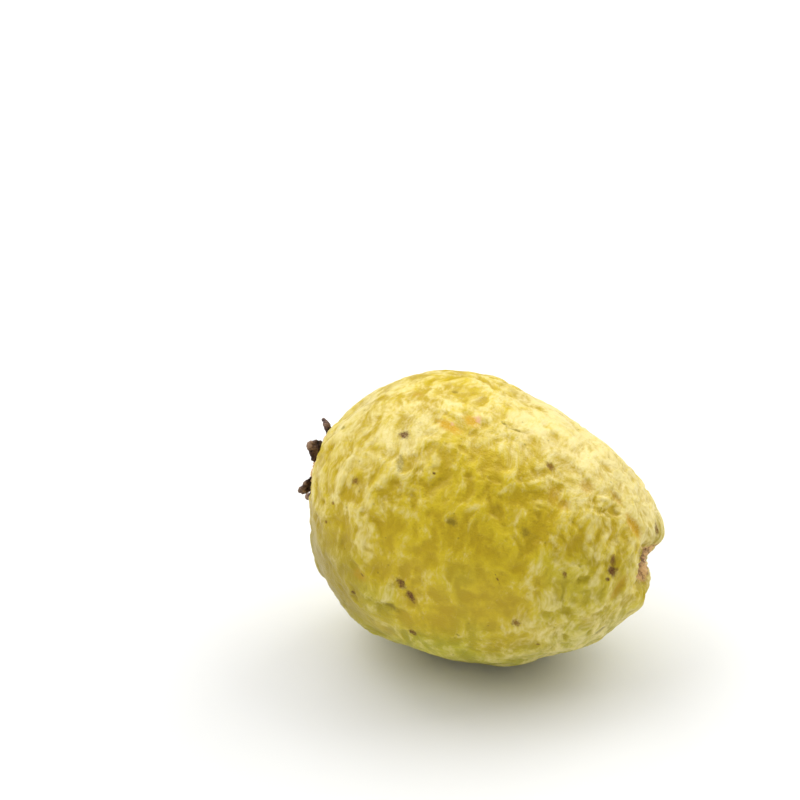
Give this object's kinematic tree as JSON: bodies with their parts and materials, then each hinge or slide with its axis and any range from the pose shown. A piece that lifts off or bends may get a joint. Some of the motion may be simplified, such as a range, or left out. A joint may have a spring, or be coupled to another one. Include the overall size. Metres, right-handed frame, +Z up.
{
  "type": "guava",
  "caption": "Whole ripe guava with a pinched stem end and a dried calyx at its blossom end, lying on a small flat spot.",
  "frame": {"origin": "bottom centre of the bounding box, on the surface that the fruit lies on", "axes": "+X along the fruit's length to its stem end, which lies a little low; +Y across; +Z up"},
  "size_m": [0.0916, 0.0702, 0.0719],
  "materials": {
    "skin": "satin",
    "dried_calyx": "matte"
  },
  "bodies": {
    "root": {"fruit": "skin", "calyx": "dried_calyx"}
  },
  "joints": []
}
